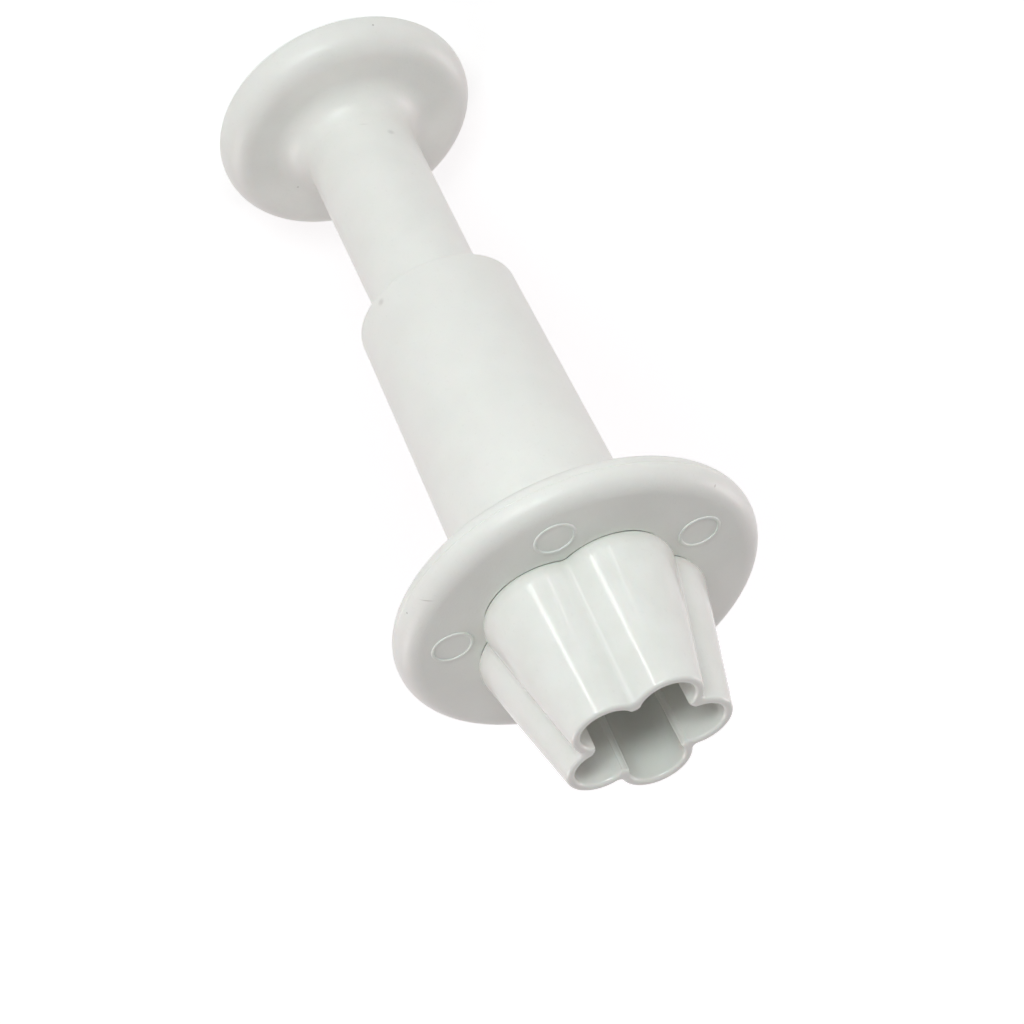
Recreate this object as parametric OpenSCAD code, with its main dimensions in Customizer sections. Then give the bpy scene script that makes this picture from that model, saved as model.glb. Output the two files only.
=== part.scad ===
// Sprung plunger cutter with a five-petal blossom nose, in white plastic.
// It stands on its thumb disc: z = 0 is the disc's flat face, and +Z runs along the axis
// towards the cutting lip. One petal points along +Y. Lengths are in millimetres.

/* [Thumb handle] */
// Radius of the thumb disc
disc_r = 11.9; // [10:0.1:14]
// Thickness of the thumb disc
disc_t = 4; // [3.9:0.1:5]
// Rounding of the disc's rim on the side that the thumb presses
disc_back_round = 1.6; // [0.5:0.1:1.7]
// Rounding of the disc's rim on the stem side
disc_front_round = 2.2; // [0.5:0.1:2.3]
// Radius of the stem
stem_r = 5; // [4.8:0.1:5.3]
// Radius of the fillet between disc and stem
stem_fillet_r = 3; // [1:0.1:4]
// Length of stem and disc fillet that shows between disc and barrel at rest
stem_show = 22.4; // [18:0.1:27]
// Length of stem that stands inside the barrel at rest
stem_inside = 8; // [6:0.5:9]
// Thickness of plastic that closes the hollow stem, from the disc's flat face
stem_floor_t = 6; // [3:0.5:8]
// Chamfer on the stem's inner end
stem_chamfer = 0.4; // [0.2:0.1:0.6]

/* [Barrel body] */
// Length of the barrel, from its thumb end to the back of the flange
barrel_len = 31.1; // [29:0.1:36]
// Outer radius of the barrel at its thumb end
barrel_top_r = 7.25; // [7.1:0.05:7.8]
// Outer radius of the barrel at the flange
barrel_base_r = 7.9; // [7.5:0.05:8.5]
// Rounding round the barrel's thumb end
barrel_top_round = 0.4; // [0.2:0.1:2]
// Inner radius of the barrel
barrel_bore_r = 6; // [5.8:0.1:6.2]
// Thickness of the end wall that guides the stem
guide_t = 3.2; // [2:0.1:5]
// Clearance between the stem and its guide hole
guide_gap = 0.1; // [0.05:0.05:0.2]
// Radius of the finger flange
flange_r = 16; // [14.5:0.25:20]
// Thickness of the finger flange
flange_t = 3.5; // [3.1:0.1:4.2]
// Rounding of the flange's rim on the barrel side
flange_back_round = 1.2; // [0.4:0.1:1.6]
// Rounding of the flange's rim on the nose side
flange_front_round = 1.8; // [0.4:0.1:2.2]
// Radius of the fillet between flange and barrel
flange_fillet_r = 1.2; // [0.5:0.1:2.5]

/* [Ejector-pin marks] */
// Radius of the circle that the marks lie on
mark_circle_r = 11.6; // [11.1:0.05:12]
// Outer radius of one mark's raised rim
mark_r = 1.85; // [1:0.05:2]
// Width of a mark's raised rim
mark_rim_w = 0.2; // [0.1:0.05:0.4]
// Height of a mark's raised rim
mark_rim_h = 0.12; // [0.05:0.01:0.3]

/* [Blossom nose] */
// Height of the nose over the flange's face
nose_h = 13; // [11.5:0.1:16]
// Distance of a petal's axis from the tool's axis
petal_offset = 4.37; // [4.2:0.01:4.5]
// Outer radius of a petal at the lip
tip_petal_r = 2.95; // [2.9:0.01:3.3]
// Outer radius of a petal where it meets the flange
base_petal_r = 5.45; // [5:0.05:5.9]
// Inner radius of a petal at the lip
mouth_petal_r = 2.45; // [2.35:0.01:2.5]
// Inner radius between the petals at the lip, where the ridges end
mouth_core_r = 4.45; // [4.3:0.01:4.5]
// Height of the nose's inner floor over the nose's lower edge
floor_lift = 0.55; // [0.45:0.05:1.5]
// Draft of the flower-shaped bore, which narrows inwards, in degrees
cavity_draft = 1.3; // [0.3:0.1:1.5]
// Radius of the rounded ridge between two petals, at the lip
ridge_r = 0.27; // [0.2:0.01:0.3]
// Height of a ridge's rounded crest over the wall that it stands on
ridge_proud = 0.07; // [0.02:0.01:0.1]
// Depth that the nose is let into the flange
seat_depth = 0.35; // [0.2:0.05:0.6]
// Gap round the nose in its seat
seat_gap = 0.2; // [0.1:0.05:0.4]
// Thickness of the nose's inner floor
web_t = 2; // [1.5:0.1:3]
// Length of the spigot that is pressed into the barrel
spigot_len = 8; // [4:0.5:9]
// Wall of the spigot
spigot_wall = 1.1; // [0.8:0.05:1.2]
// Chamfer on the spigot's end
spigot_chamfer = 0.4; // [0.2:0.1:0.6]

/* [Ejector] */
// Thickness of the flower-shaped head
head_t = 2.3; // [1.5:0.1:3]
// Clearance round the head at the bottom of its bore
head_gap = 0.15; // [0.1:0.05:0.25]
// Radius of the rod, and of the hollow stem that it is pressed into
rod_r = 3; // [2.6:0.1:3.2]
// Clearance between the rod and the hole in the nose's floor
rod_gap = 0.15; // [0.05:0.05:0.3]
// Radius of the rod's hollow core
rod_core_r = 1.8; // [1:0.1:2]
// Length of rod that is pressed into the stem
rod_in_stem = 12; // [8:0.5:16]

/* [Return spring] */
// Diameter of the spring's wire
wire_d = 0.8; // [0.6:0.05:0.9]
// Radius of the coil, to the middle of the wire
spring_r = 4.2; // [3.9:0.05:4.3]
// Number of turns
spring_turns = 15; // [10:1:15]
// Space between neighbouring turns at both ends of the coil
spring_end_space = 0.5; // [0.45:0.05:0.6]
// Space between each end of the spring and the face that it presses on
spring_seat_gap = 0.1; // [0.05:0.05:0.2]

/* [Hidden] */
$fn = 96;
petals = 5;
petal_turn = 360 / petals;
first_petal = 90;
arc_steps = 5;
spring_rings = 8;
spring_sides = 6;
nick = 0.5;
// The petals' cones are cut back to this radius, so that they don't meet on the tool's axis
petal_clear_r = 3.2;

// Heights along the axis
barrel_z = disc_t + stem_show;
flange_back_z = barrel_z + barrel_len;
flange_z = flange_back_z + flange_t;
tip_z = flange_z + nose_h;
nose_base_z = flange_z - seat_depth;
cavity_z = nose_base_z + floor_lift;
cavity_depth = tip_z - cavity_z;
web_z = cavity_z - web_t;
stem_end_z = barrel_z + stem_inside;
rod_end_z = stem_end_z - rod_in_stem;

// Fits
guide_r = stem_r + guide_gap;
top_round = min(barrel_top_round, barrel_top_r - guide_r);
draft_loss = cavity_depth * tan(cavity_draft);
deep_petal_r = mouth_petal_r - draft_loss;
deep_core_r = mouth_core_r - draft_loss;
head_petal_r = deep_petal_r - head_gap;
head_core_r = deep_core_r - head_gap;
ridge_place_r = mouth_core_r + ridge_r - ridge_proud;
web_hole_r = rod_r + rod_gap;
cup_r = barrel_bore_r - spigot_wall;

// The spring's coil, from the nose's floor back to the stem
wire_r = wire_d / 2;
spring_low_z = stem_end_z + spring_seat_gap + wire_r;
spring_high_z = web_z - spring_seat_gap - wire_r;
spring_rise = spring_high_z - spring_low_z;
end_pitch = wire_d + spring_end_space;
mid_pitch = (spring_rise - 2 * end_pitch) / (spring_turns - 2);

// Points along an arc of radius r round [x, y], from angle a0 to angle a1
function arc(x, y, r, a0, a1) =
    [for (i = [0:arc_steps]) let (a = a0 + (a1 - a0) * i / arc_steps) [x + r * cos(a), y + r * sin(a)]];

// Height of the coil's middle line after some turns: close at both ends, open between them
function coil_z(turn) =
    turn < 1 ? spring_low_z + turn * end_pitch
    : turn > spring_turns - 1 ? spring_high_z - (spring_turns - turn) * end_pitch
    : spring_low_z + end_pitch + (turn - 1) * mid_pitch;

// One point of the wire's surface: ring number along the coil, side number round the wire
function wire_point(ring, side) =
    let (turn = ring / spring_rings, around = side * 360 / spring_sides, out = spring_r + wire_r * cos(around))
    [out * cos(turn * 360), out * sin(turn * 360), coil_z(turn) + wire_r * sin(around)];

// Places its children round each petal's axis
module each_petal() {
    for (k = [0:petals - 1])
        rotate(first_petal + k * petal_turn)
            translate([petal_offset, 0, 0])
                children();
}

// Places its children in each valley between two petals, at a distance from the axis
module each_valley(distance) {
    for (k = [0:petals - 1])
        rotate(first_petal + (k + 0.5) * petal_turn)
            translate([distance, 0, 0])
                children();
}

module thumb_handle() {
    fillet_x = stem_r + stem_fillet_r;
    color([0.9, 0.91, 0.89])
        rotate_extrude()
            polygon(concat(
                [[0, 0]],
                arc(disc_r - disc_back_round, disc_back_round, disc_back_round, -90, 0),
                arc(disc_r - disc_front_round, disc_t - disc_front_round, disc_front_round, 0, 90),
                arc(fillet_x, disc_t + stem_fillet_r, stem_fillet_r, 270, 180),
                [[stem_r, stem_end_z - stem_chamfer]],
                [[stem_r - stem_chamfer, stem_end_z]],
                [[rod_r, stem_end_z]],
                [[rod_r, stem_floor_t]],
                [[0, stem_floor_t]]
            ));
}

module barrel_profile() {
    fillet_x = barrel_base_r + flange_fillet_r;
    fillet_z = flange_back_z - flange_fillet_r;
    polygon(concat(
        [[guide_r, barrel_z]],
        arc(barrel_top_r - top_round, barrel_z + top_round, top_round, -90, 0),
        arc(fillet_x, fillet_z, flange_fillet_r, 180, 90),
        arc(flange_r - flange_back_round, flange_back_z + flange_back_round, flange_back_round, -90, 0),
        arc(flange_r - flange_front_round, flange_z - flange_front_round, flange_front_round, 0, 90),
        [[barrel_bore_r, flange_z]],
        [[barrel_bore_r, barrel_z + guide_t]],
        [[guide_r, barrel_z + guide_t]]
    ));
}

module barrel_body() {
    color([0.88, 0.89, 0.87]) {
        difference() {
            rotate_extrude()
                barrel_profile();
            translate([0, 0, nose_base_z])
                each_petal()
                    cylinder(h = seat_depth + nick, r = base_petal_r + seat_gap);
        }
        translate([0, 0, flange_z])
            each_valley(mark_circle_r)
                rotate_extrude()
                    translate([mark_r - mark_rim_w, -nick])
                        square([mark_rim_w, mark_rim_h + nick]);
    }
}

// Outside of one petal: a cone, clear of the tool's own axis
module petal_outside() {
    difference() {
        translate([0, 0, nose_base_z])
            cylinder(h = tip_z - nose_base_z, r1 = base_petal_r, r2 = tip_petal_r);
        translate([-petal_offset, 0, nose_base_z - nick])
            cylinder(h = tip_z - nose_base_z + 2 * nick, r = petal_clear_r);
    }
}

// Hollow with draft, for a petal or for the space between the ridges
module drafted_hollow(deep_r, mouth_r) {
    translate([0, 0, cavity_z])
        cylinder(h = cavity_depth + nick, r1 = deep_r, r2 = mouth_r + nick * tan(cavity_draft));
}

// The flower-shaped bore, with a rounded ridge left standing between every two petals
module flower_bore() {
    difference() {
        union() {
            each_petal()
                drafted_hollow(deep_petal_r, mouth_petal_r);
            drafted_hollow(deep_core_r, mouth_core_r);
        }
        translate([0, 0, cavity_z - nick])
            each_valley(ridge_place_r)
                cylinder(h = cavity_depth + 2 * nick, r1 = ridge_r + draft_loss, r2 = ridge_r);
    }
}

// Spigot that is pressed into the barrel, chamfered at its end; it runs up through the nose's floor
module nose_spigot() {
    translate([0, 0, nose_base_z - spigot_len]) {
        cylinder(h = spigot_chamfer, r1 = barrel_bore_r - spigot_chamfer, r2 = barrel_bore_r);
        translate([0, 0, spigot_chamfer])
            cylinder(h = spigot_len - spigot_chamfer + floor_lift + nick, r = barrel_bore_r);
    }
}

module blossom_nose() {
    color([0.93, 0.94, 0.92])
        difference() {
            union() {
                each_petal()
                    petal_outside();
                nose_spigot();
            }
            flower_bore();
            translate([0, 0, web_z - nick])
                cylinder(h = web_t + 2 * nick, r = web_hole_r);
            translate([0, 0, nose_base_z - spigot_len - nick])
                cylinder(h = web_z - nose_base_z + spigot_len + nick, r = cup_r);
        }
}

module ejector() {
    color([0.86, 0.87, 0.85]) {
        translate([0, 0, cavity_z]) {
            each_petal()
                cylinder(h = head_t, r = head_petal_r);
            cylinder(h = head_t, r = head_core_r);
        }
        translate([0, 0, rod_end_z])
            difference() {
                cylinder(h = cavity_z - rod_end_z, r = rod_r);
                translate([0, 0, -nick])
                    cylinder(h = cavity_z - rod_end_z, r = rod_core_r);
            }
    }
}

module return_spring() {
    last = spring_turns * spring_rings;
    points = [for (ring = [0:last]) for (side = [0:spring_sides - 1]) wire_point(ring, side)];
    walls = [for (ring = [0:last - 1]) for (side = [0:spring_sides - 1])
        let (next = (side + 1) % spring_sides, a = ring * spring_sides, b = a + spring_sides)
        each [[a + side, b + side, b + next], [a + side, b + next, a + next]]];
    first_cap = [for (side = [1:spring_sides - 2]) [0, side, side + 1]];
    last_cap = [for (side = [1:spring_sides - 2])
        [last * spring_sides, last * spring_sides + side + 1, last * spring_sides + side]];
    color([0.62, 0.63, 0.65])
        polyhedron(points = points, faces = concat(walls, first_cap, last_cap), convexity = 12);
}

// Least distance between two neighbouring turns, from points at the same angle
function turn_gap(ring) =
    min([for (i = [0:spring_sides - 1]) for (j = [0:spring_sides - 1])
        norm(wire_point(ring + spring_rings, j) - wire_point(ring, i))]);
echo(spring_least_gap = min([for (ring = [0:(spring_turns - 1) * spring_rings]) turn_gap(ring)]));
echo(travel_to_coil_bound = spring_rise - (spring_turns - 1) * wire_d - wire_d);

thumb_handle();
barrel_body();
blossom_nose();
ejector();
return_spring();
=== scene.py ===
"""Dressed model of a sprung plunger cutter with a five-petal blossom nose.

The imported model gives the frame. Each moulding is turned again here from a finer profile, with the
rounded edges, parting line, pin marks and seams of the real tool, and takes the place of its CAD
node. Sizes are in millimetres until a finished mesh is scaled to metres.
"""

import logging
import math
from dataclasses import dataclass, field
from enum import Enum

import bmesh
import bpy
from mathutils import Matrix, Vector

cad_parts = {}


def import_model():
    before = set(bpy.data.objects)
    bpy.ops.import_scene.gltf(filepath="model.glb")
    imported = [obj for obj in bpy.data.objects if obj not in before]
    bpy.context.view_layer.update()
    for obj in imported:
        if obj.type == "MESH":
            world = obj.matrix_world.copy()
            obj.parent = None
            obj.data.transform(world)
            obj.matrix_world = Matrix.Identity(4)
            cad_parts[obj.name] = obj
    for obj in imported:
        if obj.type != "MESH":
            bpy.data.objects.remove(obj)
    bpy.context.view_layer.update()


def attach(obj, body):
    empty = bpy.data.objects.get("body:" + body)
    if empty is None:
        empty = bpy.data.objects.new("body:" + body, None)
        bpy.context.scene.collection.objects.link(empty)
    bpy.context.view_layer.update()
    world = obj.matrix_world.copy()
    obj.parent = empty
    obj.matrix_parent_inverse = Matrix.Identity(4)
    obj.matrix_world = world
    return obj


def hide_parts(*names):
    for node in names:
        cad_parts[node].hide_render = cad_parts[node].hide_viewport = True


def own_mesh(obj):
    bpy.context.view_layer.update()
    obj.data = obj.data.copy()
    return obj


log = logging.getLogger("plunger_cutter")

MM = 0.001
AXIS = Vector((0.0, 0.0, 1.0))
MERGE_GAP = 1e-4
CREASE = math.radians(28)


class Body(Enum):
    """The two bodies that the joint joins."""

    TOOL = "body"
    PLUNGER = "plunger"


class Slot(Enum):
    """The record's material slots."""

    HANDLE = "satin_white_handle"
    BARREL = "satin_white_body"
    NOSE = "gloss_white_nose"
    EJECTOR = "white_ejector"
    SPRING = "spring_steel"


def linear(colour: str) -> tuple[float, float, float, float]:
    """Turns an sRGB hex colour into linear light.

    Args:
        colour: The colour as a hash and six hex digits.

    Returns:
        Red, green, blue and a full alpha.
    """

    def channel(start: int) -> float:
        share = int(colour[start : start + 2], 16) / 255
        return share / 12.92 if share <= 0.04045 else ((share + 0.055) / 1.055) ** 2.4

    return (channel(1), channel(3), channel(5), 1.0)


def add_node(
    tree: bpy.types.NodeTree,
    kind: str,
    settings: dict | None = None,
    values: dict | None = None,
    links: dict | None = None,
) -> bpy.types.Node:
    """Adds a shader node with its settings, socket values and incoming links.

    Args:
        tree: The material's or the world's node tree.
        kind: The node's type name.
        settings: Properties of the node itself.
        values: Input sockets by name or number, and what they are set to.
        links: Input sockets by name or number, and the output socket that feeds them.

    Returns:
        The new node.
    """
    node = tree.nodes.new(kind)
    for name, value in (settings or {}).items():
        setattr(node, name, value)
    for name, value in (values or {}).items():
        node.inputs[name].default_value = value
    for name, source in (links or {}).items():
        tree.links.new(source, node.inputs[name])
    return node


@dataclass(frozen=True)
class Speck:
    """One small flaw in the surface: a dark speck, or a hairline when it is stretched.

    Attributes:
        place: Its centre on the surface, in millimetres.
        reach: Its half sizes along its own axes, in millimetres.
        turn: How its own axes are turned, in degrees.
        strength: How much of the dirt's colour it shows.
    """

    place: tuple[float, float, float]
    reach: tuple[float, float, float]
    turn: tuple[float, float, float] = (0.0, 0.0, 0.0)
    strength: float = 0.6


@dataclass(frozen=True)
class MouldedPlastic:
    """White ABS from an injection mould.

    Attributes:
        name: The material's name.
        colour: The plastic's own colour.
        shade: The slightly duller colour of the flow marks.
        roughness: Mean roughness of the surface.
        roughness_spread: How far the roughness goes either way.
        grain_mm: Size of one grain of the mould's texture.
        grain_height_mm: Height of that texture.
        flow_mm: Size of one soft flow mark.
        ripple_mm: Size of one slow unevenness that bends the reflections.
        ripple_height_mm: Height of that unevenness.
        subsurface: Share of light that enters the plastic.
        subsurface_mm: How far that light goes.
        dirt: Colour of specks and of grime in the grain.
        specks: The flaws that the photo shows.
    """

    name: str
    colour: str
    shade: str
    roughness: float
    roughness_spread: float
    grain_mm: float
    grain_height_mm: float
    flow_mm: float
    ripple_mm: float
    ripple_height_mm: float
    subsurface: float = 0.08
    subsurface_mm: float = 0.5
    dirt: str = "#8C877C"
    specks: tuple[Speck, ...] = ()

    def build(self) -> bpy.types.Material:
        """Makes the node material.

        Returns:
            The finished material.
        """
        material = bpy.data.materials.new(self.name)
        material.use_nodes = True
        tree = material.node_tree
        shader = tree.nodes["Principled BSDF"]
        shader.inputs["IOR"].default_value = 1.53
        shader.inputs["Subsurface Weight"].default_value = self.subsurface
        shader.inputs["Subsurface Scale"].default_value = self.subsurface_mm * MM
        where = add_node(tree, "ShaderNodeTexCoord").outputs["Object"]
        flow = self._noise(tree, where, self.flow_mm, 3.0)
        grain = self._noise(tree, where, self.grain_mm, 2.0)
        ripple = self._noise(tree, where, self.ripple_mm, 1.0)
        self._colour(tree, shader, where, flow, grain)
        self._gloss(tree, shader, flow, grain)
        self._relief(tree, shader, ripple, grain)
        return material

    def _noise(
        self, tree: bpy.types.NodeTree, where: bpy.types.NodeSocket, size_mm: float, detail: float
    ) -> bpy.types.NodeSocket:
        """Adds noise whose marks have a real size in millimetres.

        Args:
            tree: The material's node tree.
            where: The Object coordinates.
            size_mm: Size of one mark.
            detail: Number of finer layers.

        Returns:
            The noise's value.
        """
        noise = add_node(
            tree,
            "ShaderNodeTexNoise",
            values={"Scale": 1 / (size_mm * MM), "Detail": detail},
            links={"Vector": where},
        )
        return noise.outputs["Fac"]

    def _colour(
        self,
        tree: bpy.types.NodeTree,
        shader: bpy.types.Node,
        where: bpy.types.NodeSocket,
        flow: bpy.types.NodeSocket,
        grain: bpy.types.NodeSocket,
    ) -> None:
        """Links the base colour: flow marks, a little grime in the grain, and the specks."""
        ramp = add_node(tree, "ShaderNodeValToRGB", links={"Fac": flow})
        ramp.color_ramp.elements[0].position = 0.36
        ramp.color_ramp.elements[0].color = linear(self.shade)
        ramp.color_ramp.elements[1].position = 0.62
        ramp.color_ramp.elements[1].color = linear(self.colour)
        grime = add_node(
            tree,
            "ShaderNodeMapRange",
            values={"From Min": 0.62, "From Max": 0.80, "To Max": 0.06},
            links={"Value": grain},
        )
        amount = grime.outputs["Result"]
        for speck in self.specks:
            amount = self._speck(tree, where, speck, amount)
        mix = add_node(
            tree,
            "ShaderNodeMix",
            settings={"data_type": "RGBA"},
            values={7: linear(self.dirt)},
            links={0: amount, 6: ramp.outputs["Color"]},
        )
        tree.links.new(mix.outputs[2], shader.inputs["Base Color"])

    def _speck(
        self,
        tree: bpy.types.NodeTree,
        where: bpy.types.NodeSocket,
        speck: Speck,
        amount: bpy.types.NodeSocket,
    ) -> bpy.types.NodeSocket:
        """Adds one speck to the amount of dirt.

        Args:
            tree: The material's node tree.
            where: The Object coordinates.
            speck: The flaw to add.
            amount: The dirt so far.

        Returns:
            The dirt with this speck in it.
        """
        local = add_node(
            tree,
            "ShaderNodeMapping",
            settings={"vector_type": "TEXTURE"},
            values={
                "Location": [c * MM for c in speck.place],
                "Rotation": [math.radians(a) for a in speck.turn],
                "Scale": [c * MM for c in speck.reach],
            },
            links={"Vector": where},
        )
        away = add_node(
            tree,
            "ShaderNodeVectorMath",
            settings={"operation": "LENGTH"},
            links={0: local.outputs["Vector"]},
        )
        spot = add_node(
            tree,
            "ShaderNodeMapRange",
            settings={"interpolation_type": "SMOOTHSTEP"},
            values={"From Min": 1.0, "From Max": 0.1, "To Max": speck.strength},
            links={"Value": away.outputs["Value"]},
        )
        both = add_node(
            tree,
            "ShaderNodeMath",
            settings={"operation": "MAXIMUM"},
            links={0: amount, 1: spot.outputs["Result"]},
        )
        return both.outputs["Value"]

    def _gloss(
        self,
        tree: bpy.types.NodeTree,
        shader: bpy.types.Node,
        flow: bpy.types.NodeSocket,
        grain: bpy.types.NodeSocket,
    ) -> None:
        """Links the roughness, which follows the flow marks and the grain."""
        both = add_node(
            tree, "ShaderNodeMath", settings={"operation": "ADD"}, links={0: flow, 1: grain}
        )
        gloss = add_node(
            tree,
            "ShaderNodeMapRange",
            values={
                "From Min": 0.7,
                "From Max": 1.3,
                "To Min": self.roughness - self.roughness_spread,
                "To Max": self.roughness + self.roughness_spread,
            },
            links={"Value": both.outputs["Value"]},
        )
        tree.links.new(gloss.outputs["Result"], shader.inputs["Roughness"])

    def _relief(
        self,
        tree: bpy.types.NodeTree,
        shader: bpy.types.Node,
        ripple: bpy.types.NodeSocket,
        grain: bpy.types.NodeSocket,
    ) -> None:
        """Links the normal: slow ripples first, and the mould's grain over them."""
        slow = add_node(
            tree,
            "ShaderNodeBump",
            values={"Strength": 1.0, "Distance": self.ripple_height_mm * MM},
            links={"Height": ripple},
        )
        fine = add_node(
            tree,
            "ShaderNodeBump",
            values={"Strength": 1.0, "Distance": self.grain_height_mm * MM},
            links={"Height": grain, "Normal": slow.outputs["Normal"]},
        )
        tree.links.new(fine.outputs["Normal"], shader.inputs["Normal"])


@dataclass(frozen=True)
class DrawnWire:
    """Stainless spring wire, drawn through a die.

    Attributes:
        name: The material's name.
        colour: The steel's colour.
        shade: Colour in the drawing lines.
        roughness: Mean roughness.
        line_mm: Width of one drawing line, coarser than the real one so that it shows.
    """

    name: str
    colour: str
    shade: str
    roughness: float
    line_mm: float

    def build(self) -> bpy.types.Material:
        """Makes the node material.

        Returns:
            The finished material.
        """
        material = bpy.data.materials.new(self.name)
        material.use_nodes = True
        tree = material.node_tree
        shader = tree.nodes["Principled BSDF"]
        shader.inputs["Metallic"].default_value = 1.0
        where = add_node(tree, "ShaderNodeTexCoord").outputs["Object"]
        lines = add_node(
            tree,
            "ShaderNodeTexNoise",
            values={"Scale": 1 / (self.line_mm * MM), "Detail": 2.0, "Distortion": 0.4},
            links={"Vector": where},
        ).outputs["Fac"]
        ramp = add_node(tree, "ShaderNodeValToRGB", links={"Fac": lines})
        ramp.color_ramp.elements[0].position = 0.3
        ramp.color_ramp.elements[0].color = linear(self.shade)
        ramp.color_ramp.elements[1].position = 0.7
        ramp.color_ramp.elements[1].color = linear(self.colour)
        tree.links.new(ramp.outputs["Color"], shader.inputs["Base Color"])
        gloss = add_node(
            tree,
            "ShaderNodeMapRange",
            values={"To Min": self.roughness - 0.08, "To Max": self.roughness + 0.08},
            links={"Value": lines},
        )
        tree.links.new(gloss.outputs["Result"], shader.inputs["Roughness"])
        relief = add_node(
            tree,
            "ShaderNodeBump",
            values={"Strength": 1.0, "Distance": 0.004 * MM},
            links={"Height": lines},
        )
        tree.links.new(relief.outputs["Normal"], shader.inputs["Normal"])
        return material


# White ABS from a spark-eroded mould: an even satin that spreads every highlight
SATIN_HANDLE = MouldedPlastic(
    name="satin_white_abs_handle",
    colour="#E8EAE5",
    shade="#E5E7E2",
    roughness=0.37,
    roughness_spread=0.05,
    grain_mm=0.28,
    grain_height_mm=0.012,
    flow_mm=4.0,
    ripple_mm=3.0,
    ripple_height_mm=0.02,
    specks=(
        Speck((-5.68, -10.43, 2.1), (0.13, 0.13, 0.13), strength=0.8),
        Speck((6.48, 2.91, 4.05), (0.13, 0.13, 0.13), strength=0.7),
        Speck((-3.14, -3.89, 8.67), (0.5, 0.5, 0.42), strength=0.22),
        Speck((-1.2, -4.85, 7.3), (0.7, 0.3, 0.12), (0.0, 20.0, 0.0), strength=0.12),
    ),
)
# The same plastic and mould texture on the barrel and its flange
SATIN_BODY = MouldedPlastic(
    name="satin_white_abs_body",
    colour="#E8EAE5",
    shade="#E5E7E2",
    roughness=0.37,
    roughness_spread=0.05,
    grain_mm=0.28,
    grain_height_mm=0.012,
    flow_mm=5.0,
    ripple_mm=4.0,
    ripple_height_mm=0.02,
    specks=(
        Speck((13.1, -9.04, 59.48), (0.11, 0.11, 0.11), strength=0.8),
        Speck((-13.48, -7.74, 60.14), (0.26, 0.14, 0.2), strength=0.45),
        Speck((11.25, -10.61, 60.27), (0.95, 0.08, 0.35), (28.9, 35.7, 0.0), strength=0.4),
        Speck((4.26, -5.89, 27.34), (0.5, 0.5, 0.45), strength=0.24),
    ),
)
# White ABS from a polished mould: glossy, with long narrow highlights down each petal
GLOSS_NOSE = MouldedPlastic(
    name="polished_white_abs_nose",
    colour="#E8EBE6",
    shade="#E4E7E1",
    roughness=0.15,
    roughness_spread=0.03,
    grain_mm=0.35,
    grain_height_mm=0.0015,
    flow_mm=3.0,
    ripple_mm=2.5,
    ripple_height_mm=0.012,
    subsurface=0.08,
    subsurface_mm=0.6,
)
# White ABS, smooth but not polished, deep inside the nose: the same white ABS, painted a few levels
# greyer as painted shade for its place deep in the bore
SMOOTH_EJECTOR_PAINTED_SHADE = MouldedPlastic(
    name="smooth_white_abs_ejector_painted_shade",
    colour="#DFE1DB",
    shade="#D3D5CE",
    roughness=0.34,
    roughness_spread=0.05,
    grain_mm=0.3,
    grain_height_mm=0.003,
    flow_mm=3.0,
    ripple_mm=3.0,
    ripple_height_mm=0.01,
)
# Drawn stainless wire: grey, with fine lines along it
SPRING_WIRE = DrawnWire(
    name="drawn_stainless_wire",
    colour="#A9ABAD",
    shade="#85878A",
    roughness=0.28,
    line_mm=0.12,
)


@dataclass(frozen=True)
class Corner:
    """One corner of a turned profile.

    Attributes:
        out: Distance from the tool's axis.
        up: Height along it.
        rounding: Radius that rounds the corner, or 0 for a sharp one.
        steps: Number of facets in that rounding.
    """

    out: float
    up: float
    rounding: float = 0.0
    steps: int = 8


@dataclass(frozen=True)
class Flower:
    """The outline of five circles round the tool's axis.

    Attributes:
        offset: Distance of a petal's axis from the tool's axis.
        petals: Number of petals.
        first: Direction of the first petal.
    """

    offset: float = 4.37
    petals: int = 5
    first: float = math.radians(90)

    @property
    def share(self) -> float:
        """Angle that one petal takes."""
        return 2 * math.pi / self.petals

    def from_petal(self, turn: float) -> float:
        """Angle between a direction and the nearest petal's axis."""
        return abs((turn - self.first + self.share / 2) % self.share - self.share / 2)

    def reach(self, petal_r: float, turn: float, core_r: float = 0.0) -> float:
        """Gives how far the outline lies from the tool's axis in one direction.

        Args:
            petal_r: Radius of each petal's circle.
            turn: The direction, as an angle round the axis.
            core_r: Radius that the outline never goes inside.

        Returns:
            The distance from the axis.
        """
        angle = self.from_petal(turn)
        aside = self.offset * math.sin(angle)
        if petal_r <= aside:
            return core_r
        far = self.offset * math.cos(angle) + math.sqrt(petal_r**2 - aside**2)
        return max(far, core_r)

    def filleted_reach(self, petal_r: float, turn: float, fillet: float) -> float:
        """Gives the outline's distance from the axis, with a fillet in each valley.

        Args:
            petal_r: Radius of each petal's circle.
            turn: The direction, as an angle round the axis.
            fillet: Radius of the fillet between two petals.

        Returns:
            The distance from the axis.
        """
        along = self.offset * math.cos(self.share / 2)
        aside = self.offset * math.sin(self.share / 2)
        centre = along + math.sqrt((petal_r + fillet) ** 2 - aside**2)
        part = petal_r / (petal_r + fillet)
        touch = math.atan2(aside * (1 - part), along + part * (centre - along))
        from_valley = self.share / 2 - self.from_petal(turn)
        if from_valley >= touch:
            return self.reach(petal_r, turn)
        off = centre * math.sin(from_valley)
        return centre * math.cos(from_valley) - math.sqrt(max(0.0, fillet**2 - off**2))

    def valley_turns(self) -> list[float]:
        """Directions of the valleys between the petals."""
        return [self.first + (k + 0.5) * self.share for k in range(self.petals)]


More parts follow.
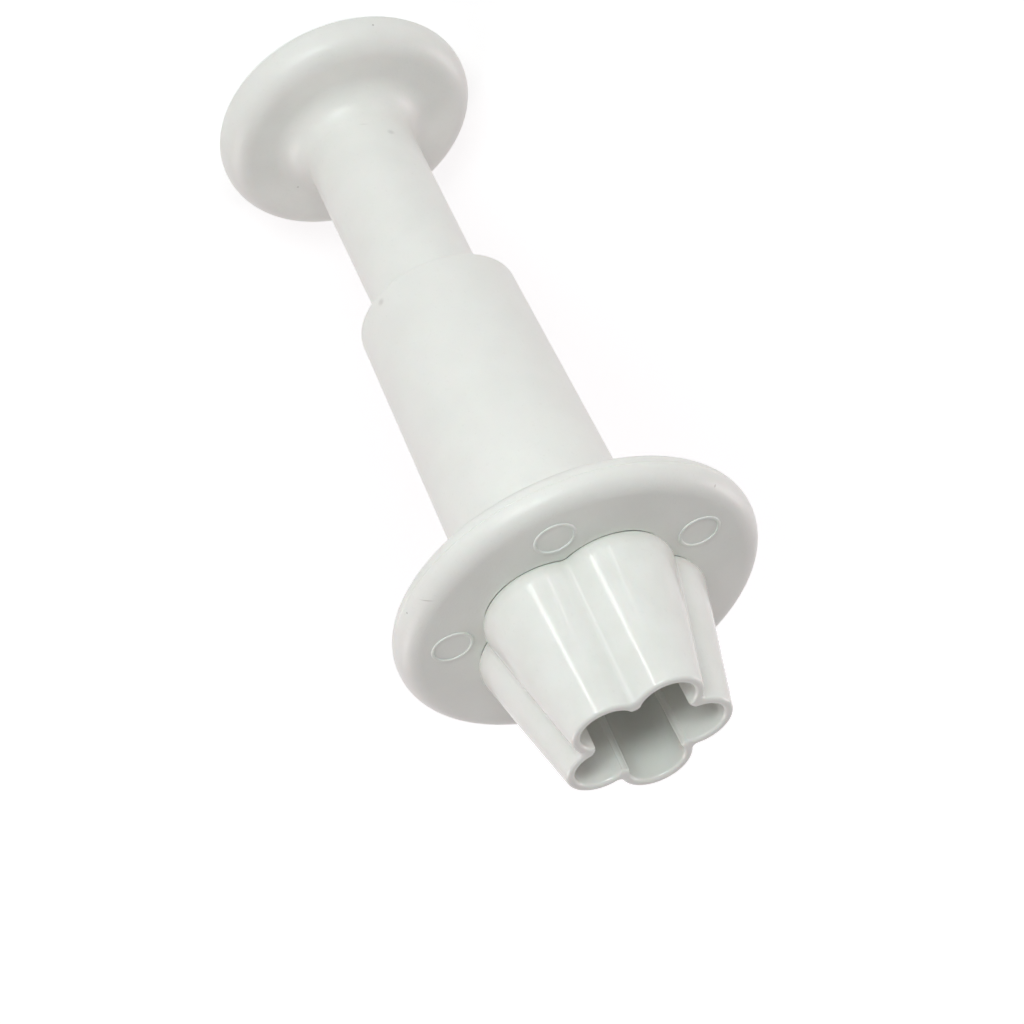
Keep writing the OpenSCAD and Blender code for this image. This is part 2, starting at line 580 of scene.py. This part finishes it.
@dataclass
class Piece:
    """One physical piece, which takes the place of a CAD node.

    Attributes:
        name: The piece's name.
        node: The CAD node that it stands for.
        body: The body that it moves with.
        slot: The record's material slot; not used.
        finish: What it is made of.
        spin_steps: Number of facets round the axis.
    """

    name: str
    node: str
    body: Body
    slot: Slot
    finish: MouldedPlastic | DrawnWire
    spin_steps: int = 360

    def build(self) -> bpy.types.Object:
        """Models and dresses the piece.

        Returns:
            The finished object.
        """
        piece = self.finished(self.model())
        log.info("%s: %d faces on %s", self.name, len(piece.data.polygons), self.body.value)
        return piece

    def model(self) -> bmesh.types.BMesh:
        """Makes the piece's mesh, in millimetres."""
        raise NotImplementedError

    def profile(self, corners: list[Corner], closed: bool) -> bmesh.types.BMesh:
        """Draws a turned profile as a wire and rounds its corners.

        Args:
            corners: The corners in order.
            closed: True if the last corner joins the first.

        Returns:
            A mesh that holds only the wire, in the plane of X and Z.
        """
        mesh = bmesh.new()
        points = [mesh.verts.new((c.out, 0.0, c.up)) for c in corners]
        for first, second in zip(points, points[1:]):
            mesh.edges.new((first, second))
        if closed:
            mesh.edges.new((points[-1], points[0]))
        for point, corner in zip(points, corners):
            if corner.rounding:
                bmesh.ops.bevel(
                    mesh,
                    geom=[point],
                    offset=self.bevel_offset(corner, corners),
                    offset_type="OFFSET",
                    affect="VERTICES",
                    segments=corner.steps,
                    profile=0.5,
                    material=-1,
                )
        self.hold_flats(mesh)
        return mesh

    def bevel_offset(self, corner: Corner, corners: list[Corner]) -> float:
        """Gives the length that a rounding takes off each side of its corner.

        Args:
            corner: The corner.
            corners: All corners of the profile in order.

        Returns:
            The length, which equals the radius at a square corner.
        """
        here = corners.index(corner)
        before = corners[here - 1]
        after = corners[(here + 1) % len(corners)]
        centre = Vector((corner.out, corner.up))
        one = (Vector((before.out, before.up)) - centre).normalized()
        two = (Vector((after.out, after.up)) - centre).normalized()
        return corner.rounding / math.tan(one.angle(two) / 2)

    def hold_flats(self, mesh: bmesh.types.BMesh, inset: float = 0.06) -> None:
        """Splits each long straight line close to its ends, so that flat faces shade flat."""
        for edge in list(mesh.edges):
            length = edge.calc_length()
            if length > 8 * inset:
                first = edge.verts[0]
                rest, _ = bmesh.utils.edge_split(edge, first, inset / length)
                longer = max((rest, edge), key=lambda e: e.calc_length())
                second = max(longer.verts, key=lambda v: (v.co - first.co).length)
                bmesh.utils.edge_split(longer, second, inset / longer.calc_length())

    def spin(self, mesh: bmesh.types.BMesh, steps: int | None = None) -> None:
        """Turns the wire into a closed shape round the tool's axis.

        Args:
            mesh: The mesh with the wire.
            steps: Number of facets round the axis, if not the piece's own.
        """
        bmesh.ops.spin(
            mesh,
            geom=mesh.verts[:] + mesh.edges[:],
            cent=(0.0, 0.0, 0.0),
            axis=AXIS,
            angle=2 * math.pi,
            steps=steps or self.spin_steps,
            use_merge=True,
        )
        bmesh.ops.remove_doubles(mesh, verts=mesh.verts[:], dist=MERGE_GAP)

    def finished(self, mesh: bmesh.types.BMesh) -> bpy.types.Object:
        """Closes the mesh, scales it to metres, and makes it the piece on its body.

        Args:
            mesh: The modelled mesh, in millimetres.

        Returns:
            The object, dressed and riding on its body.
        """
        bmesh.ops.remove_doubles(mesh, verts=mesh.verts[:], dist=MERGE_GAP)
        bmesh.ops.recalc_face_normals(mesh, faces=mesh.faces[:])
        for face in mesh.faces:
            face.smooth = True
        for edge in mesh.edges:
            if edge.is_manifold and edge.calc_face_angle() > CREASE:
                edge.smooth = False
        bmesh.ops.scale(mesh, vec=(MM, MM, MM), verts=mesh.verts[:])
        data = bpy.data.meshes.new(self.name)
        mesh.to_mesh(data)
        mesh.free()
        data.materials.append(self.finish.build())
        piece = bpy.data.objects.new(self.name, data)
        bpy.context.collection.objects.link(piece)
        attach(piece, self.body.value)
        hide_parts(self.node)
        return piece


@dataclass
class ThumbHandle(Piece):
    """Thumb disc and plunger stem in one moulding.

    Attributes:
        disc_r: Radius of the thumb disc.
        disc_t: Its thickness.
        back_round: Rounding of its rim on the thumb's side.
        front_round: Rounding of its rim on the stem's side.
        stem_r: Radius of the stem.
        foot_round: Fillet where the stem leaves the disc.
        stem_end: Height of the stem's inner end.
        chamfer: Rounding of that end.
        socket_r: Radius of the hollow that takes the ejector's rod.
        socket_floor: Height where the hollow starts.
    """

    disc_r: float = 11.9
    disc_t: float = 4.0
    back_round: float = 1.6
    front_round: float = 2.2
    stem_r: float = 5.0
    foot_round: float = 2.6
    stem_end: float = 34.4
    chamfer: float = 0.4
    socket_r: float = 3.0
    socket_floor: float = 6.0

    def model(self) -> bmesh.types.BMesh:
        """Turns disc and stem from one profile."""
        mesh = self.profile(
            [
                Corner(0.0, 0.0),
                Corner(self.disc_r, 0.0, self.back_round, 14),
                Corner(self.disc_r, self.disc_t, self.front_round, 16),
                Corner(self.stem_r, self.disc_t, self.foot_round, 20),
                Corner(self.stem_r, self.stem_end, self.chamfer, 6),
                Corner(self.socket_r, self.stem_end),
                Corner(self.socket_r, self.socket_floor),
                Corner(0.0, self.socket_floor),
            ],
            closed=False,
        )
        self.spin(mesh)
        return mesh


@dataclass
class BarrelBody(Piece):
    """Barrel and finger flange in one moulding, with the nose's seat and the pin marks.

    Attributes:
        flower: The petals' outline where the nose meets the face.
        guide_r: Radius of the hole that guides the stem.
        thumb_end: Height of the barrel's thumb end.
        guide_top: Height of the guide wall's inner face.
        top_r: Radius of the barrel at its thumb end.
        top_round: Rounding round that end.
        base_r: Radius of the barrel at the flange.
        fillet: Fillet between barrel and flange.
        flange_r: Radius of the flange.
        flange_back: Height of its back face.
        flange_front: Height of its front face.
        back_round: Rounding of its rim on the barrel's side.
        front_round: Rounding of its rim on the nose's side.
        parting_w: Width of the fine line that the mould halves left round the rim.
        parting_d: Depth of that line.
        bore_r: Radius of the barrel's bore.
        seat_petal_r: Radius of a petal of the nose's seat, close round its rounded edge.
        seat_floor: Height of the seat's floor.
        valley_fillet: Fillet between two petals of the seat.
        mark_circle_r: Radius of the circle that the pin marks lie on.
        mark_r: Outer radius of a mark's rim.
        mark_w: Width of that rim.
        mark_h: Height of that rim.
    """

    flower: Flower = field(default_factory=lambda: Flower(offset=4.74))
    guide_r: float = 5.1
    thumb_end: float = 26.4
    guide_top: float = 29.6
    top_r: float = 7.25
    top_round: float = 0.25
    base_r: float = 7.9
    fillet: float = 1.2
    flange_r: float = 16.0
    flange_back: float = 57.5
    flange_front: float = 60.75
    back_round: float = 1.3
    front_round: float = 1.8
    parting_w: float = 0.12
    parting_d: float = 0.05
    bore_r: float = 6.0
    seat_petal_r: float = 5.165
    seat_floor: float = 60.28
    valley_fillet: float = 0.85
    mark_circle_r: float = 11.6
    mark_r: float = 1.85
    mark_w: float = 0.3
    mark_h: float = 0.11

    def model(self) -> bmesh.types.BMesh:
        """Turns the barrel, shapes the seat and adds the pin marks."""
        seat_out = self.flower.offset + self.seat_petal_r
        parting = self.flange_back + self.back_round + 0.02
        mesh = self.profile(
            [
                Corner(self.guide_r, self.thumb_end, 0.1, 5),
                Corner(self.top_r, self.thumb_end, self.top_round, 10),
                Corner(self.base_r, self.flange_back, self.fillet, 12),
                Corner(self.flange_r, self.flange_back, self.back_round, 12),
                Corner(self.flange_r, parting),
                Corner(self.flange_r - self.parting_d, parting + self.parting_w / 2),
                Corner(self.flange_r, parting + self.parting_w),
                Corner(self.flange_r, self.flange_front, self.front_round, 16),
                Corner(seat_out, self.flange_front, 0.09, 5),
                Corner(seat_out - 0.19, self.seat_floor, 0.16, 5),
                Corner(self.bore_r, self.seat_floor),
                Corner(self.bore_r, self.guide_top),
                Corner(self.guide_r, self.guide_top),
            ],
            closed=True,
        )
        self.spin(mesh)
        self.shape_seat(mesh, seat_out)
        for turn in self.flower.valley_turns():
            self.add_mark(mesh, turn)
        return mesh

    def shape_seat(self, mesh: bmesh.types.BMesh, seat_out: float) -> None:
        """Moves the seat's round wall out to the petals' outline.

        Args:
            mesh: The turned barrel.
            seat_out: Radius of the round wall, which is the seat's reach along a petal's axis.
        """
        for point in mesh.verts:
            out = point.co.to_2d().length
            if point.co.z > self.seat_floor - 0.01 and abs(out - seat_out) < 0.4:
                turn = math.atan2(point.co.y, point.co.x)
                petal_r = out - self.flower.offset
                reach = self.flower.filleted_reach(petal_r, turn, self.valley_fillet)
                point.co.x *= reach / out
                point.co.y *= reach / out

    def add_mark(self, mesh: bmesh.types.BMesh, turn: float) -> None:
        """Adds the raised rim that one ejector pin left.

        Args:
            mesh: The barrel's mesh.
            turn: Direction of the valley that the mark lies in.
        """
        rim = self.profile(
            [
                Corner(self.mark_r - self.mark_w, -self.mark_w),
                Corner(self.mark_r - self.mark_w, self.mark_h, 0.1, 6),
                Corner(self.mark_r, self.mark_h, 0.1, 6),
                Corner(self.mark_r, -self.mark_w),
            ],
            closed=True,
        )
        self.spin(rim, steps=96)
        place = Matrix.Rotation(turn, 4, "Z") @ Matrix.Translation(
            (self.mark_circle_r, 0.0, self.flange_front)
        )
        rim.transform(place)
        data = bpy.data.meshes.new("pin_mark")
        rim.to_mesh(data)
        rim.free()
        mesh.from_mesh(data)
        bpy.data.meshes.remove(data)


@dataclass
class BlossomNose(Piece):
    """The cutter: five tapering petals round a drafted bore, and the spigot below.

    Attributes:
        flower: The petals' outline at the lip and in the bore.
        base_offset: Distance of a petal's axis from the tool's axis at the lower edge.
        base: Height of the nose's lower edge.
        base_round: Rounding of that edge.
        lip_fillet: Fillet between two petals on the outside, at the lip.
        base_fillet: The same at the lower edge.
        lip: Height of the cutting lip.
        base_petal_r: Outer radius of a petal at the lower edge.
        tip_petal_r: Outer radius of a petal at the lip.
        mouth_petal_r: Inner radius of a petal at the lip.
        mouth_core_r: Inner radius between the petals at the lip.
        draft: Draft of the bore.
        ridge_r: Radius of a ridge's rounded crest at the lip.
        ridge_proud: Height of that crest over the wall.
        floor: Height of the bore's floor.
        web_bottom: Height of the floor's lower face.
        web_hole_r: Radius of the hole for the rod.
        cup_r: Inner radius of the spigot.
        spigot_r: Outer radius of the spigot.
        spigot_end: Height of the spigot's end.
        wall_rings: Number of rings along each wall.
    """

    flower: Flower = field(default_factory=Flower)
    base_offset: float = 4.75
    base: float = 60.31
    base_round: float = 1.5
    lip_fillet: float = 0.6
    base_fillet: float = 0.85
    lip: float = 74.0
    base_petal_r: float = 5.885
    tip_petal_r: float = 3.1
    mouth_petal_r: float = 2.38
    mouth_core_r: float = 4.45
    draft: float = math.radians(0.9)
    ridge_r: float = 0.4
    ridge_proud: float = 0.07
    floor: float = 61.2
    web_bottom: float = 59.2
    web_hole_r: float = 3.15
    cup_r: float = 4.9
    spigot_r: float = 6.0
    spigot_end: float = 52.65
    wall_rings: int = 10

    def model(self) -> bmesh.types.BMesh:
        """Turns the nose round and then moves its walls to the petals' outline."""
        offset = self.flower.offset
        lip_round = (self.tip_petal_r - self.mouth_petal_r) * 0.46
        deep_petal_r = self.mouth_petal_r - self.draft_loss(self.floor)
        mesh = self.profile(
            [
                Corner(self.web_hole_r, self.floor, 0.1, 5),
                Corner(offset + deep_petal_r, self.floor),
                Corner(offset + self.mouth_petal_r, self.lip, lip_round, 8),
                Corner(offset + self.tip_petal_r, self.lip, lip_round, 8),
                Corner(self.base_offset + self.base_petal_r, self.base, self.base_round, 16),
                Corner(self.spigot_r, self.base),
                Corner(self.spigot_r, self.spigot_end, 0.4, 6),
                Corner(self.cup_r, self.spigot_end),
                Corner(self.cup_r, self.web_bottom),
                Corner(self.web_hole_r, self.web_bottom),
            ],
            closed=True,
        )
        self.ring_walls(mesh)
        self.spin(mesh)
        self.shape_petals(mesh)
        return mesh

    def draft_loss(self, height: float) -> float:
        """Length that the draft takes off the bore at a height."""
        return (self.lip - height) * math.tan(self.draft)

    def ring_walls(self, mesh: bmesh.types.BMesh) -> None:
        """Divides the two long walls, so that the petals' taper keeps its shape."""
        walls = [
            edge
            for edge in mesh.edges
            if edge.calc_length() > 8 and edge.verts[0].co.x > self.spigot_r + 0.1
        ]
        bmesh.ops.subdivide_edges(mesh, edges=walls, cuts=self.wall_rings)

    def inner_reach(self, height: float, turn: float) -> float:
        """Gives the bore's distance from the axis, with the ridges between the petals.

        Args:
            height: Height of the point.
            turn: Direction of the point.

        Returns:
            The distance from the axis.
        """
        loss = self.draft_loss(height)
        wall = self.flower.reach(self.mouth_petal_r - loss, turn, self.mouth_core_r - loss)
        place = self.mouth_core_r + self.ridge_r - self.ridge_proud
        post_r = self.ridge_r + loss
        from_valley = self.flower.share / 2 - self.flower.from_petal(turn)
        aside = place * math.sin(from_valley)
        if aside >= post_r:
            return wall
        crest = place * math.cos(from_valley) - math.sqrt(post_r**2 - aside**2)
        return min(wall, crest)

    def shape_petals(self, mesh: bmesh.types.BMesh) -> None:
        """Moves each point of the walls from its circle to the petals' outline."""
        for point in mesh.verts:
            out = point.co.to_2d().length
            if point.co.z < self.base - 0.01 or out < self.spigot_r + 0.1:
                continue
            turn = math.atan2(point.co.y, point.co.x)
            down = (self.lip - point.co.z) / (self.lip - self.base)
            outline = Flower(self.flower.offset + (self.base_offset - self.flower.offset) * down)
            inner_out = self.flower.offset + self.mouth_petal_r - self.draft_loss(point.co.z)
            if point.co.z < self.lip - 1:
                share = 1.0 if out > inner_out + 0.1 else 0.0
                outer_r = out - outline.offset
            else:
                outer_r = self.tip_petal_r + (self.base_petal_r - self.tip_petal_r) * down
                share = (out - inner_out) / (outline.offset + outer_r - inner_out)
                share = min(1.0, max(0.0, share))
            reach = self.inner_reach(point.co.z, turn)
            if share > 0:
                fillet = self.lip_fillet + (self.base_fillet - self.lip_fillet) * down
                reach += (outline.filleted_reach(outer_r, turn, fillet) - reach) * share
            point.co.x *= reach / out
            point.co.y *= reach / out


@dataclass
class Ejector(Piece):
    """Flower-shaped head and the hollow rod that is pressed into the stem.

    Attributes:
        flower: The petals' outline.
        head_bottom: Height of the head's lower face.
        head_t: Thickness of the head.
        petal_r: Radius of one of its petals.
        core_r: Radius between its petals.
        rod_r: Radius of the rod.
        rod_core_r: Radius of the rod's hollow core.
        rod_end: Height of the rod's end.
        core_top: Height where the hollow core ends.
    """

    flower: Flower = field(default_factory=Flower)
    head_bottom: float = 61.2
    head_t: float = 2.3
    petal_r: float = 2.01
    core_r: float = 4.01
    rod_r: float = 3.0
    rod_core_r: float = 1.8
    rod_end: float = 22.4
    core_top: float = 60.7

    def model(self) -> bmesh.types.BMesh:
        """Turns head and rod, and moves the head's wall to the petals' outline."""
        out = self.flower.offset + self.petal_r
        top = self.head_bottom + self.head_t
        mesh = self.profile(
            [
                Corner(0.0, top),
                Corner(out, top, 0.15, 6),
                Corner(out, self.head_bottom, 0.1, 5),
                Corner(self.rod_r, self.head_bottom),
                Corner(self.rod_r, self.rod_end, 0.2, 5),
                Corner(self.rod_core_r, self.rod_end),
                Corner(self.rod_core_r, self.core_top),
                Corner(0.0, self.core_top),
            ],
            closed=False,
        )
        self.spin(mesh)
        for point in mesh.verts:
            here = point.co.to_2d().length
            if point.co.z > self.head_bottom - 0.01 and here > self.flower.offset + 1:
                turn = math.atan2(point.co.y, point.co.x)
                lost = out - here
                reach = self.flower.reach(self.petal_r - lost, turn, self.core_r - lost)
                point.co.x *= reach / here
                point.co.y *= reach / here
        return mesh


@dataclass
class ReturnSpring(Piece):
    """Compression spring round the rod, between the nose's floor and the stem's end.

    Attributes:
        wire_r: Radius of the wire.
        coil_r: Radius of the coil, to the middle of the wire.
        low: Height of the wire's middle at the first end.
        high: Height of the wire's middle at the other end.
        turns: Number of turns.
        end_pitch: Rise of the closer turn at each end.
        steps_a_turn: Facets along one turn.
        wire_sides: Facets round the wire.
        fixed_end: Height of the end that stays; not used.
        travel: The plunger's travel; not used.
    """

    wire_r: float = 0.4
    coil_r: float = 4.2
    low: float = 34.9
    high: float = 58.7
    turns: int = 15
    end_pitch: float = 1.3
    steps_a_turn: int = 48
    wire_sides: int = 16
    fixed_end: float = 59.1
    travel: float = 11.5

    def model(self) -> bmesh.types.BMesh:
        """Winds the wire in three stretches: a close turn, the open coil, and a close turn."""
        mesh = bmesh.new()
        ring = bmesh.ops.create_circle(mesh, segments=self.wire_sides, radius=self.wire_r)["verts"]
        bmesh.ops.rotate(
            mesh, verts=ring, cent=(0, 0, 0), matrix=Matrix.Rotation(math.pi / 2, 3, "X")
        )
        bmesh.ops.translate(mesh, verts=ring, vec=(self.coil_r, 0.0, self.low))
        geom = ring + [edge for edge in mesh.edges]
        bmesh.ops.contextual_create(mesh, geom=[e for e in geom if isinstance(e, bmesh.types.BMEdge)])
        middle = self.turns - 2
        middle_pitch = (self.high - self.low - 2 * self.end_pitch) / middle
        for count, pitch in ((1, self.end_pitch), (middle, middle_pitch), (1, self.end_pitch)):
            wound = bmesh.ops.spin(
                mesh,
                geom=geom,
                cent=(0.0, 0.0, 0.0),
                axis=AXIS,
                dvec=AXIS * (pitch / self.steps_a_turn),
                angle=2 * math.pi * count,
                steps=self.steps_a_turn * count,
            )
            geom = wound["geom_last"]
        last = [e for e in geom if isinstance(e, bmesh.types.BMEdge)]
        bmesh.ops.contextual_create(mesh, geom=last)
        return mesh

    def build(self) -> bpy.types.Object:
        """Models the spring and gives it a mesh of its own.

        Returns:
            The finished object.
        """
        piece = super().build()
        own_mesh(piece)
        return piece


@dataclass(frozen=True)
class Softbox:
    """One rectangular softbox that faces the tool.

    Attributes:
        name: The lamp's name.
        place: Where it stands, in metres.
        aim: The point that it faces, in metres.
        width: Its width, in metres.
        height: Its height, in metres.
        watts: Its power.
        tint: Its colour.
    """

    name: str
    place: tuple[float, float, float]
    aim: tuple[float, float, float]
    width: float
    height: float
    watts: float
    tint: str = "#FFFFFF"

    def hang(self) -> None:
        """Adds the lamp to the scene."""
        data = bpy.data.lights.new(self.name, "AREA")
        data.shape = "RECTANGLE"
        data.size = self.width
        data.size_y = self.height
        data.energy = self.watts
        data.color = linear(self.tint)[:3]
        lamp = bpy.data.objects.new(self.name, data)
        lamp.location = self.place
        facing = Vector(self.aim) - Vector(self.place)
        lamp.rotation_euler = facing.to_track_quat("-Z", "Y").to_euler()
        lamp.visible_camera = False
        bpy.context.collection.objects.link(lamp)


@dataclass
class Studio:
    """Plain white floor, even surroundings and the softboxes.

    Attributes:
        floor_size: Side of the floor, in metres.
        near_glow: What the floor adds for the camera near the tool, where the lamps light it,
            so that it reads white round the shadow.
        far_glow: The same far away, where only the surroundings light it.
        far: Distance from the tool where the floor counts as far, in metres.
        horizon: Strength of the surroundings at the level of the eye.
        zenith: Strength of the surroundings straight above.
        surround_tint: Their faintly warm colour.
        boxes: The softboxes.
    """

    floor_size: float = 6.0
    near_glow: float = 0.515
    far_glow: float = 0.72
    far: float = 0.6
    horizon: float = 0.92
    zenith: float = 0.06
    surround_tint: str = "#FFF5F7"
    boxes: tuple[Softbox, ...] = (
        Softbox("key_box", (0.025, -0.447, 0.188), (0.0, 0.0, 0.06), 0.28, 0.09, 0.89, "#F5FFFE"),
        Softbox("left_box", (0.37, 0.18, 0.20), (0.0, 0.0, 0.05), 0.20, 0.20, 0.38, "#FFF5F6"),
        Softbox("fill_box", (-0.37, 0.20, 0.15), (0.0, 0.0, 0.05), 0.20, 0.20, 0.40, "#FFF5F6"),
        Softbox("strip_box", (0.048, -0.245, 0.047), (0.0, 0.0, 0.066), 0.030, 0.070, 0.038),
        Softbox("side_strip_box", (-0.080, -0.232, 0.022), (0.0, 0.0, 0.06), 0.014, 0.024, 0.005),
    )

    def build(self) -> None:
        """Sets up floor, surroundings and lamps."""
        self._floor()
        self._surroundings()
        for box in self.boxes:
            box.hang()
        bpy.context.scene.view_settings.view_transform = "Standard"
        log.info("studio: %d softboxes", len(self.boxes))

    def _seen(self, tree: bpy.types.NodeTree) -> bpy.types.NodeSocket:
        """Adds the test for rays that see the background, straight or in a reflection."""
        path = add_node(tree, "ShaderNodeLightPath")
        seen = path.outputs["Is Camera Ray"]
        for name in ("Is Glossy Ray", "Is Transmission Ray"):
            seen = add_node(
                tree,
                "ShaderNodeMath",
                settings={"operation": "MAXIMUM"},
                links={0: seen, 1: path.outputs[name]},
            ).outputs["Value"]
        return seen

    def _floor(self) -> None:
        """Lays the floor, which keeps the tool's shadow."""
        mesh = bmesh.new()
        bmesh.ops.create_grid(mesh, x_segments=1, y_segments=1, size=self.floor_size / 2)
        data = bpy.data.meshes.new("floor")
        mesh.to_mesh(data)
        mesh.free()
        floor = bpy.data.objects.new("floor", data)
        bpy.context.collection.objects.link(floor)
        # Matt white board: bright enough for the camera to read as white where nothing shades it
        material = bpy.data.materials.new("matt_white_board")
        material.use_nodes = True
        tree = material.node_tree
        shader = tree.nodes["Principled BSDF"]
        shader.inputs["Base Color"].default_value = linear("#E8E9E9")
        shader.inputs["Roughness"].default_value = 0.9
        shader.inputs["Emission Color"].default_value = linear("#FDFFFF")
        where = add_node(tree, "ShaderNodeTexCoord").outputs["Object"]
        away = add_node(
            tree, "ShaderNodeVectorMath", settings={"operation": "LENGTH"}, links={0: where}
        )
        level = add_node(
            tree,
            "ShaderNodeMapRange",
            values={"From Max": self.far, "To Min": self.near_glow, "To Max": self.far_glow},
            links={"Value": away.outputs["Value"]},
        )
        glow = add_node(
            tree,
            "ShaderNodeMath",
            settings={"operation": "MULTIPLY"},
            links={0: level.outputs["Result"], 1: self._seen(tree)},
        )
        tree.links.new(glow.outputs["Value"], shader.inputs["Emission Strength"])
        data.materials.append(material)

    def _surroundings(self) -> None:
        """Makes the even surroundings, white where they are seen."""
        world = bpy.data.worlds.new("white_studio")
        world.use_nodes = True
        tree = world.node_tree
        back = tree.nodes["Background"]
        seen = self._seen(tree)
        where = add_node(tree, "ShaderNodeTexCoord")
        split = add_node(
            tree, "ShaderNodeSeparateXYZ", links={"Vector": where.outputs["Generated"]}
        )
        sky = add_node(
            tree,
            "ShaderNodeMapRange",
            values={"To Min": self.horizon, "To Max": self.zenith},
            links={"Value": split.outputs["Z"]},
        )
        level = add_node(
            tree,
            "ShaderNodeMix",
            values={3: 1.0},
            links={0: seen, 2: sky.outputs["Result"]},
        )
        tint = add_node(
            tree,
            "ShaderNodeMix",
            settings={"data_type": "RGBA"},
            values={6: linear(self.surround_tint), 7: linear("#FFFFFF")},
            links={0: seen},
        )
        tree.links.new(level.outputs[0], back.inputs["Strength"])
        tree.links.new(tint.outputs[2], back.inputs["Color"])
        bpy.context.scene.world = world


@dataclass(frozen=True)
class PhotoCamera:
    """The camera at the photograph's viewing angle.

    Attributes:
        place: Where it stands, in millimetres.
        right: Direction of the picture's right side.
        up: Direction of the picture's top.
        lens: Focal length for the sensor's width, in millimetres.
        sensor: The sensor's width, in millimetres.
    """

    place: tuple[float, float, float] = (7.1093, -229.3205, 204.3758)
    right: tuple[float, float, float] = (-0.90525898, 0.2240988, 0.36095139)
    up: tuple[float, float, float] = (-0.42443817, -0.51487557, -0.74481903)
    lens: float = 116.370
    sensor: float = 36.0

    def build(self) -> bpy.types.Object:
        """Adds the camera and makes it the scene's own.

        Returns:
            The camera.
        """
        data = bpy.data.cameras.new("photo_camera")
        data.sensor_width = self.sensor
        data.lens = self.lens
        data.clip_start = 0.01
        camera = bpy.data.objects.new("photo_camera", data)
        right = Vector(self.right).normalized()
        back = right.cross(Vector(self.up)).normalized()
        axes = Matrix((right, back.cross(right), back)).transposed().to_4x4()
        camera.matrix_world = Matrix.Translation(Vector(self.place) * MM) @ axes
        bpy.context.collection.objects.link(camera)
        bpy.context.scene.camera = camera
        log.info("camera: lens %.2f mm", self.lens)
        return camera


def main() -> None:
    """Builds every piece in order, then the studio and the camera."""
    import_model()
    pieces = (
        ThumbHandle("handle", "thumb_handle", Body.PLUNGER, Slot.HANDLE, SATIN_HANDLE),
        BarrelBody("barrel", "barrel_body", Body.TOOL, Slot.BARREL, SATIN_BODY),
        BlossomNose("nose", "blossom_nose", Body.TOOL, Slot.NOSE, GLOSS_NOSE, 720),
        Ejector("ejector_head", "ejector", Body.PLUNGER, Slot.EJECTOR, SMOOTH_EJECTOR_PAINTED_SHADE, 720),
        ReturnSpring("spring", "return_spring", Body.TOOL, Slot.SPRING, SPRING_WIRE),
    )
    for piece in pieces:
        piece.build()
    Studio().build()
    PhotoCamera().build()


if __name__ == "__main__":
    logging.basicConfig(level=logging.INFO)
    main()
